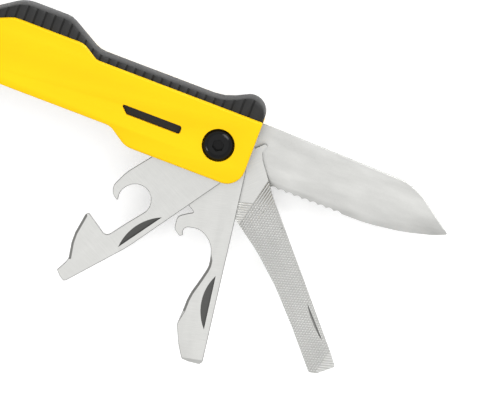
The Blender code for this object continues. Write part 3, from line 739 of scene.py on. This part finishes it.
class MT_OT_fasteners(bpy.types.Operator):
    """Turns the button-head screws and finishes their nuts"""

    bl_idname = "multi_tool.fasteners"
    bl_label = "Screws and nuts"

    def execute(self, context):
        for node, sizes in SCREWS.items():
            screw = self.turned_screw(node, *(size * MM for size in sizes))
            finish_piece(screw, "handle", node)
        for node in ("pivot_nut", "tang_nut_1", "tang_nut_2"):
            nut = cleaned_copy(node, "blackened_" + node, black_oxide())
            round_edges(nut, 0.2 * MM, 3)
            finish_piece(nut, "handle", node)
        return {"FINISHED"}

    def turned_screw(self, node, height, shank, key):
        """A button head with a dome and a hex socket, on a chamfered shank."""
        low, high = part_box(node)
        x, y = (low[0] + high[0]) / 2, (low[1] + high[1]) / 2
        radius = (high[0] - low[0]) / 2
        seat = high[2] - height
        rim = look("screw").rim
        crown = radius * look("screw").crown
        screw = add_drum("turned_" + node, radius, seat, seat + rim, x, y, 96)
        screw.data.materials.append(black_oxide())
        select_faces(screw, lambda face: face.normal.z > 0.9)
        reach, rise = radius, 0.0
        for step in range(1, DOME_STEPS + 1):
            turn = math.pi / 2 * step / DOME_STEPS
            wide = crown + (radius - crown) * math.cos(turn)
            tall = (height - rim) * math.sin(turn)
            bpy.ops.mesh.extrude_region_move(TRANSFORM_OT_translate={"value": (0, 0, tall - rise)})
            share = wide / reach
            bpy.ops.transform.resize(value=(share, share, 1), center_override=(x, y, 0))
            reach, rise = wide, tall
        close_edit()
        select_faces(screw, lambda face: face.normal.z < -0.9)
        narrow = shank / 2 / radius
        bpy.ops.mesh.extrude_region_move()
        bpy.ops.transform.resize(value=(narrow, narrow, 1), center_override=(x, y, 0))
        chamfer = 0.3 * MM
        bpy.ops.mesh.extrude_region_move(
            TRANSFORM_OT_translate={"value": (0, 0, low[2] + chamfer - seat)}
        )
        bpy.ops.mesh.extrude_region_move(TRANSFORM_OT_translate={"value": (0, 0, -chamfer)})
        bpy.ops.transform.resize(value=(0.85, 0.85, 1), center_override=(x, y, 0))
        close_edit()
        socket = add_drum(
            "socket", key / math.sqrt(3), high[2] - SOCKET_DEPTH, high[2] + 2 * MM, x, y, 6,
        )
        cut(screw, socket)

        def socket_rim(a, b):
            return abs(a.z - high[2]) < WELD and abs(b.z - high[2]) < WELD

        round_edges(screw, 0.16 * MM, 3, socket_rim, 60)
        return screw


class MT_OT_knife_blade(bpy.types.Operator):
    """Finishes the part-serrated knife blade"""

    bl_idname = "multi_tool.knife_blade"
    bl_label = "Knife blade"

    def execute(self, context):
        blade = cleaned_copy(
            "knife_blade", "ground_knife_blade", ground_steel("knife", across=False),
        )

        def spine(a, b):
            spots = from_pivot("knife", a), from_pivot("knife", b)
            return all(spot.y > KNIFE_EDGE_TOP or spot.x < KNIFE_EDGE_START for spot in spots)

        break_tool_edges(blade, "knife_blade", wanted=spine)
        finish_piece(blade, "knife", "knife_blade", 20)
        return {"FINISHED"}


class MT_OT_file(bpy.types.Operator):
    """Cuts the file's crossed teeth into both faces and notches its edges"""

    bl_idname = "multi_tool.file"
    bl_label = "File"

    def execute(self, context):
        tool = cleaned_copy("file", "cut_file", ground_steel("file"), painted_shade_steel("file"))
        # The nick's faces take the second material, steel darkened with painted shade
        shape_nick(tool, "file")
        pitch = look("steel").tooth_pitch / MM
        for slant, depth, first, last in FILE_CUTS:
            count = int((last - first) / pitch) + 1
            rows = [self.groove(slant, depth, first + number * pitch) for number in range(count)]
            cut(tool, joined([piece for row in rows for piece in row], "cuts"), "MANIFOLD")
        self.divide_faces(tool, pitch)
        cut(tool, self.edge_notches(tool), "MANIFOLD")
        finish_piece(tool, "file", "file")
        activate(tool)
        bpy.ops.object.shade_flat()
        return {"FINISHED"}

    def divide_faces(self, tool, pitch):
        """Divides the long flanks of the cuts along the ridges between the cuts that cross them."""
        open_edit(tool, select=True)
        for slant, _, first, last in FILE_CUTS:
            across = square_to(math.radians(slant))
            turned = Matrix.Rotation(tool_turn("file"), 2) @ across
            for number in range(-1, int((last - first) / pitch) + 1):
                bpy.ops.mesh.select_all(action="SELECT")
                bpy.ops.mesh.bisect(
                    plane_co=to_world("file", *(across * (first + (number + 0.5) * pitch)), 0),
                    plane_no=(*turned, 0),
                )
        close_edit()

    def groove(self, slant, share, distance):
        """One V cut across the front face and one across the back; distance is from the pivot."""
        turn = math.radians(slant)
        middle = square_to(turn) * distance
        along = Vector((math.cos(turn), math.sin(turn)))
        middle -= along * (middle.y / along.y)
        width = look("steel").tooth_pitch * CUT_WIDTH
        depth = look("steel").tooth_depth * share
        pair = []
        for z in (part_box("file")[0][2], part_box("file")[1][2]):
            deselect()
            bpy.ops.mesh.primitive_cylinder_add(
                vertices=4, radius=0.5, depth=26 * MM, location=to_world("file", *middle, z),
                rotation=(math.pi / 2, 0, turn + tool_turn("file") + math.pi / 2),
                scale=(width, 2 * depth, 1),
            )
            pair.append(bpy.context.object)
            bpy.ops.object.transform_apply(location=True, rotation=True, scale=True)
        return pair

    def edge_notches(self, tool):
        """Upright three-sided pegs along both long edges."""
        back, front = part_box("file")[0][2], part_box("file")[1][2]
        spots = [from_pivot("file", point.co) for point in tool.data.vertices]
        pegs = []
        for side, start, end in NOTCHED_EDGES:
            place = start
            while place < end:
                near = [spot.y * side for spot in spots if abs(spot.x - place) < 0.7]
                if near:
                    height = max(near) * side
                    pegs.append(add_drum(
                        "peg", 0.3 * MM, back - 1 * MM, front + 1 * MM,
                        *to_world("file", place, height + side * 0.12, 0)[:2], 4,
                    ))
                place += EDGE_NOTCH_PITCH
        return joined(pegs, "edge_notches")


class MT_OT_cap_lifter(bpy.types.Operator):
    """Finishes the cap lifter, its bevelled hollow and its screwdriver tip"""

    bl_idname = "multi_tool.cap_lifter"
    bl_label = "Cap lifter"

    def execute(self, context):
        tool = cleaned_copy(
            "cap_lifter", "ground_cap_lifter", ground_steel("cap_lifter"),
            stamped_steel_painted_shade("cap_lifter"), painted_shade_steel("cap_lifter"),
        )
        # The nick, the ground bevel and the broken edges are darkened with painted shade
        mouth = shape_nick(tool, "cap_lifter")
        grind_bevel(tool, "cap_lifter", mouth)
        break_tool_edges(tool, "cap_lifter", sharp=mouth, material=BEVEL_SHADE)
        finish_piece(tool, "cap_lifter", "cap_lifter", 20)
        return {"FINISHED"}


class MT_OT_can_opener(bpy.types.Operator):
    """Finishes the can opener and its ground spike"""

    bl_idname = "multi_tool.can_opener"
    bl_label = "Can opener"

    def execute(self, context):
        tool = cleaned_copy(
            "can_opener", "ground_can_opener", ground_steel("can_opener"),
            stamped_steel_painted_shade("can_opener"), painted_shade_steel("can_opener"),
        )
        # The nick, the ground bevel and the broken edges are darkened with painted shade
        mouth = shape_nick(tool, "can_opener")
        grind_bevel(tool, "can_opener", mouth)
        break_tool_edges(tool, "can_opener", sharp=mouth, material=BEVEL_SHADE)
        finish_piece(tool, "can_opener", "can_opener", 20)
        return {"FINISHED"}


class MT_OT_scraper_head(bpy.types.Operator):
    """Finishes the fixed scraper head"""

    bl_idname = "multi_tool.scraper_head"
    bl_label = "Scraper head"

    def execute(self, context):
        head = cleaned_copy(
            "scraper_head", "ground_scraper_head", ground_steel("handle", across=False),
        )
        break_tool_edges(head, "scraper_head", 0.2 * MM)
        finish_piece(head, "handle", "scraper_head", 20)
        return {"FINISHED"}


class MT_OT_stage(bpy.types.Operator):
    """Lays the floor and sets the lamps, the world and the camera"""

    bl_idname = "multi_tool.stage"
    bl_label = "Stage"

    def execute(self, context):
        stage = look("stage")
        deselect()
        bpy.ops.mesh.primitive_plane_add(size=6, location=(0, 0, -0.05 * MM))
        floor = context.object
        floor.name = "floor"
        floor.data.materials.append(floor_material())
        set_world(stage)
        for name, (setting, place, size) in LAMPS.items():
            add_softbox(name, place, size, getattr(stage, setting))
        add_camera(stage)
        context.scene.view_settings.view_transform = "Standard"
        return {"FINISHED"}


def seen_directly(tree):
    """1 for rays from the camera, off gloss or through glass."""
    path = add(tree, "ShaderNodeLightPath")
    either = add(
        tree, "ShaderNodeMath", {"operation": "MAXIMUM"},
        i0=path.outputs["Is Camera Ray"], i1=path.outputs["Is Glossy Ray"],
    )
    return add(
        tree, "ShaderNodeMath", {"operation": "MAXIMUM"},
        i0=either.outputs[0], i1=path.outputs["Is Transmission Ray"],
    ).outputs[0]


def floor_material():
    """A pale floor that shows as white where no shadow falls on it."""
    made = bpy.data.materials.new("White floor")
    made.use_nodes = True
    tree = made.node_tree
    shader = tree.nodes["Principled BSDF"]
    shader.inputs["Base Color"].default_value = (0.82, 0.82, 0.82, 1)
    shader.inputs["Roughness"].default_value = 0.9
    shader.inputs["Specular IOR Level"].default_value = 0.0
    lifted = add(tree, "ShaderNodeMath", {"operation": "MULTIPLY"}, i0=seen_directly(tree), i1=0.42)
    shader.inputs["Emission Color"].default_value = (1, 1, 1, 1)
    tree.links.new(lifted.outputs[0], shader.inputs["Emission Strength"])
    return made


def set_world(stage):
    """An even light that falls off from overhead to the horizon, seen and mirrored as white."""
    world = bpy.data.worlds.new("White room")
    bpy.context.scene.world = world
    world.use_nodes = True
    tree = world.node_tree
    background = tree.nodes["Background"]
    background.inputs["Color"].default_value = (1, 1, 1, 1)
    around = add(tree, "ShaderNodeTexCoord").outputs["Generated"]
    way = add(tree, "ShaderNodeSeparateXYZ", i0=around)
    level = add(
        tree, "ShaderNodeMapRange", {"interpolation_type": "SMOOTHSTEP"}, i0=way.outputs["Z"],
        i1=0.0, i2=0.8, i3=stage.horizon, i4=stage.zenith,
    )
    shown = add(
        tree, "ShaderNodeMapRange", i0=seen_directly(tree), i1=0.0, i2=1.0,
        i3=level.outputs[0], i4=1.0,
    )
    tree.links.new(shown.outputs[0], background.inputs["Strength"])


def add_softbox(name, place, size, power):
    light = bpy.data.lights.new(name, "AREA")
    light.shape = "DISK"
    light.size = size
    light.energy = power
    lamp = bpy.data.objects.new(name, light)
    lamp.location = place
    lamp.rotation_euler = (-Vector(place)).to_track_quat("-Z", "Y").to_euler()
    bpy.context.scene.collection.objects.link(lamp)


def add_camera(stage):
    target = Vector((PIVOT.x + stage.aim[0], PIVOT.y + stage.aim[1], FRONT_Z))
    back = Vector((0, math.sin(stage.tilt), math.cos(stage.tilt)))
    up = Vector((0, math.cos(stage.tilt), -math.sin(stage.tilt)))
    right = Vector((1, 0, 0))
    turned_right = right * math.cos(stage.roll) + up * math.sin(stage.roll)
    turned_up = up * math.cos(stage.roll) - right * math.sin(stage.roll)
    axes = Matrix((turned_right, turned_up, back)).transposed()
    data = bpy.data.cameras.new("Product camera")
    data.sensor_width = 36
    data.lens = data.sensor_width * stage.distance / stage.frame_width
    data.clip_start, data.clip_end = 0.01, 20
    camera = bpy.data.objects.new("Product camera", data)
    camera.matrix_world = Matrix.Translation(target + back * stage.distance) @ axes.to_4x4()
    bpy.context.scene.collection.objects.link(camera)
    bpy.context.scene.camera = camera


class MT_PT_panel(bpy.types.Panel):
    """Lists the tool's sizes, colours and steps"""

    bl_label = "Multi Tool"
    bl_idname = "MT_PT_panel"
    bl_space_type = "VIEW_3D"
    bl_region_type = "UI"
    bl_category = "Multi Tool"

    def draw(self, context):
        for name, group in LOOKS.items():
            box = self.layout.box()
            box.label(text=name.title())
            for setting in group.__annotations__:
                box.prop(look(name), setting)
        for step in STEPS:
            self.layout.operator(step.bl_idname)


LOOKS = {"handle": HandleLook, "steel": SteelLook, "screw": ScrewLook, "stage": StageLook}
STEPS = (
    MT_OT_stage, MT_OT_side_plates, MT_OT_grip_shells, MT_OT_inner_pieces, MT_OT_fasteners,
    MT_OT_knife_blade, MT_OT_file, MT_OT_cap_lifter, MT_OT_can_opener, MT_OT_scraper_head,
)


def register():
    for item in (*LOOKS.values(), *STEPS, MT_PT_panel):
        bpy.utils.register_class(item)
    for name, group in LOOKS.items():
        setattr(bpy.types.Scene, "multi_tool_" + name, bpy.props.PointerProperty(type=group))


def unregister():
    for name in LOOKS:
        delattr(bpy.types.Scene, "multi_tool_" + name)
    for item in reversed((*LOOKS.values(), *STEPS, MT_PT_panel)):
        bpy.utils.unregister_class(item)


def main():
    register()
    for step in STEPS:
        area, name = step.bl_idname.split(".")
        getattr(getattr(bpy.ops, area), name)()


if __name__ == "__main__":
    main()
